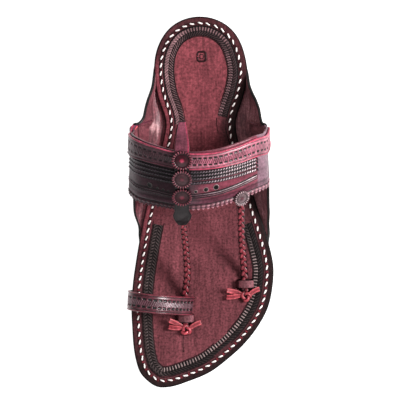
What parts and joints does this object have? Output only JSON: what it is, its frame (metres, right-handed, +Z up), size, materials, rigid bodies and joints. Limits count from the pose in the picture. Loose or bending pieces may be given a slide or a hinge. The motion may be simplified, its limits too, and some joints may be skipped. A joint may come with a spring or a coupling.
{
  "type": "kolhapuri chappal",
  "caption": "Left leather sandal with a wide instep band, side flaps, a toe loop, braided cords with knots, and pinked leather rosettes.",
  "frame": {"origin": "centre of the bounding box at the floor that the sole stands on", "axes": "+Y from the heel to the toes, +Z up from the floor, +X to the big toe's side"},
  "size_m": [0.1099, 0.2748, 0.0918],
  "materials": {
    "sole_leather": "satin",
    "seam_leather": "matte",
    "footbed_leather": "satin",
    "upper_leather": "semi-gloss",
    "strap_leather": "semi-gloss",
    "dark_leather": "satin",
    "braid_leather": "satin"
  },
  "bodies": {
    "root": {"heel_lift": "sole_leather", "outsole": "sole_leather", "middle_sole": "seam_leather", "insole": "footbed_leather", "upper": "upper_leather", "border_strap": "strap_leather", "centre_strip": "dark_leather", "toe_loop": "strap_leather", "toe_cord": "braid_leather", "side_cord": "braid_leather", "toe_knot": "braid_leather", "side_knot": "braid_leather", "rosette_rear": "dark_leather", "rosette_middle": "dark_leather", "rosette_front": "dark_leather", "rosette_side": "dark_leather"}
  },
  "joints": []
}
